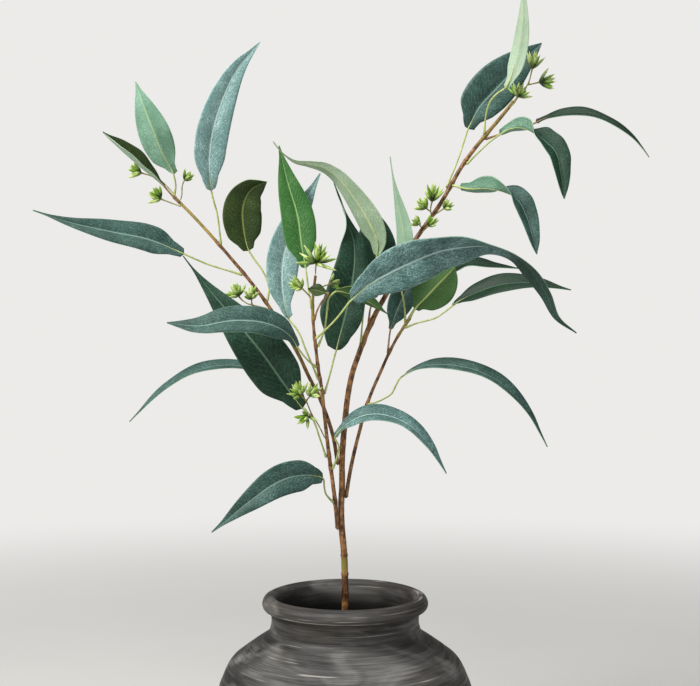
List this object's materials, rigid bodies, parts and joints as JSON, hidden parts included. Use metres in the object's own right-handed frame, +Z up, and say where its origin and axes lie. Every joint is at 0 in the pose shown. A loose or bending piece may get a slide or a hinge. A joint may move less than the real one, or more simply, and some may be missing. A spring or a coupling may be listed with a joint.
{
  "type": "eucalyptus branch",
  "caption": "Spray of willow-leaved eucalyptus with arching leaves and clusters of flower buds, standing in a round dark clay vase with a rolled lip.",
  "frame": {"origin": "centre of the vase's foot, on the surface it stands on", "axes": "+Z up along the vase's axis; -Y towards the viewer, so the spray's face; +X to the viewer's right"},
  "size_m": [0.5955, 0.26, 0.8661],
  "materials": {
    "clay": "unglazed, matte, brushed along the wheel",
    "bark": "smooth young bark, satin",
    "leaf": "waxy, satin",
    "bud": "smooth, satin"
  },
  "bodies": {
    "root": {"vase": "clay", "main_stem": "bark", "front_stem": "bark", "left_stem": "bark", "right_stem": "bark", "front_leaf_1": "leaf", "front_leaf_2": "leaf", "front_leaf_3": "leaf", "front_leaf_4": "leaf", "front_leaf_5": "leaf", "front_leaf_6": "leaf", "front_leaf_7": "leaf", "front_leaf_8": "leaf", "front_leaf_9": "leaf", "front_leaf_10": "leaf", "left_leaf_1": "leaf", "left_leaf_2": "leaf", "left_leaf_3": "leaf", "left_leaf_4": "leaf", "left_leaf_5": "leaf", "left_leaf_6": "leaf", "right_leaf_1": "leaf", "right_leaf_2": "leaf", "right_leaf_3": "leaf", "right_leaf_4": "leaf", "right_leaf_5": "leaf", "right_leaf_6": "leaf", "main_leaf_1": "leaf", "main_leaf_2": "leaf", "main_leaf_3": "leaf", "main_leaf_4": "leaf", "main_leaf_5": "leaf", "main_leaf_6": "leaf", "main_leaf_7": "leaf", "front_seeds_1": "bud", "front_seeds_2": "bud", "front_seeds_3": "bud", "front_seeds_4": "bud", "left_seeds_1": "bud", "left_seeds_2": "bud", "left_seeds_3": "bud", "left_seeds_4": "bud", "main_seeds_1": "bud", "main_seeds_2": "bud", "main_seeds_3": "bud", "main_seeds_4": "bud", "main_seeds_5": "bud", "main_seeds_6": "bud"}
  },
  "joints": []
}
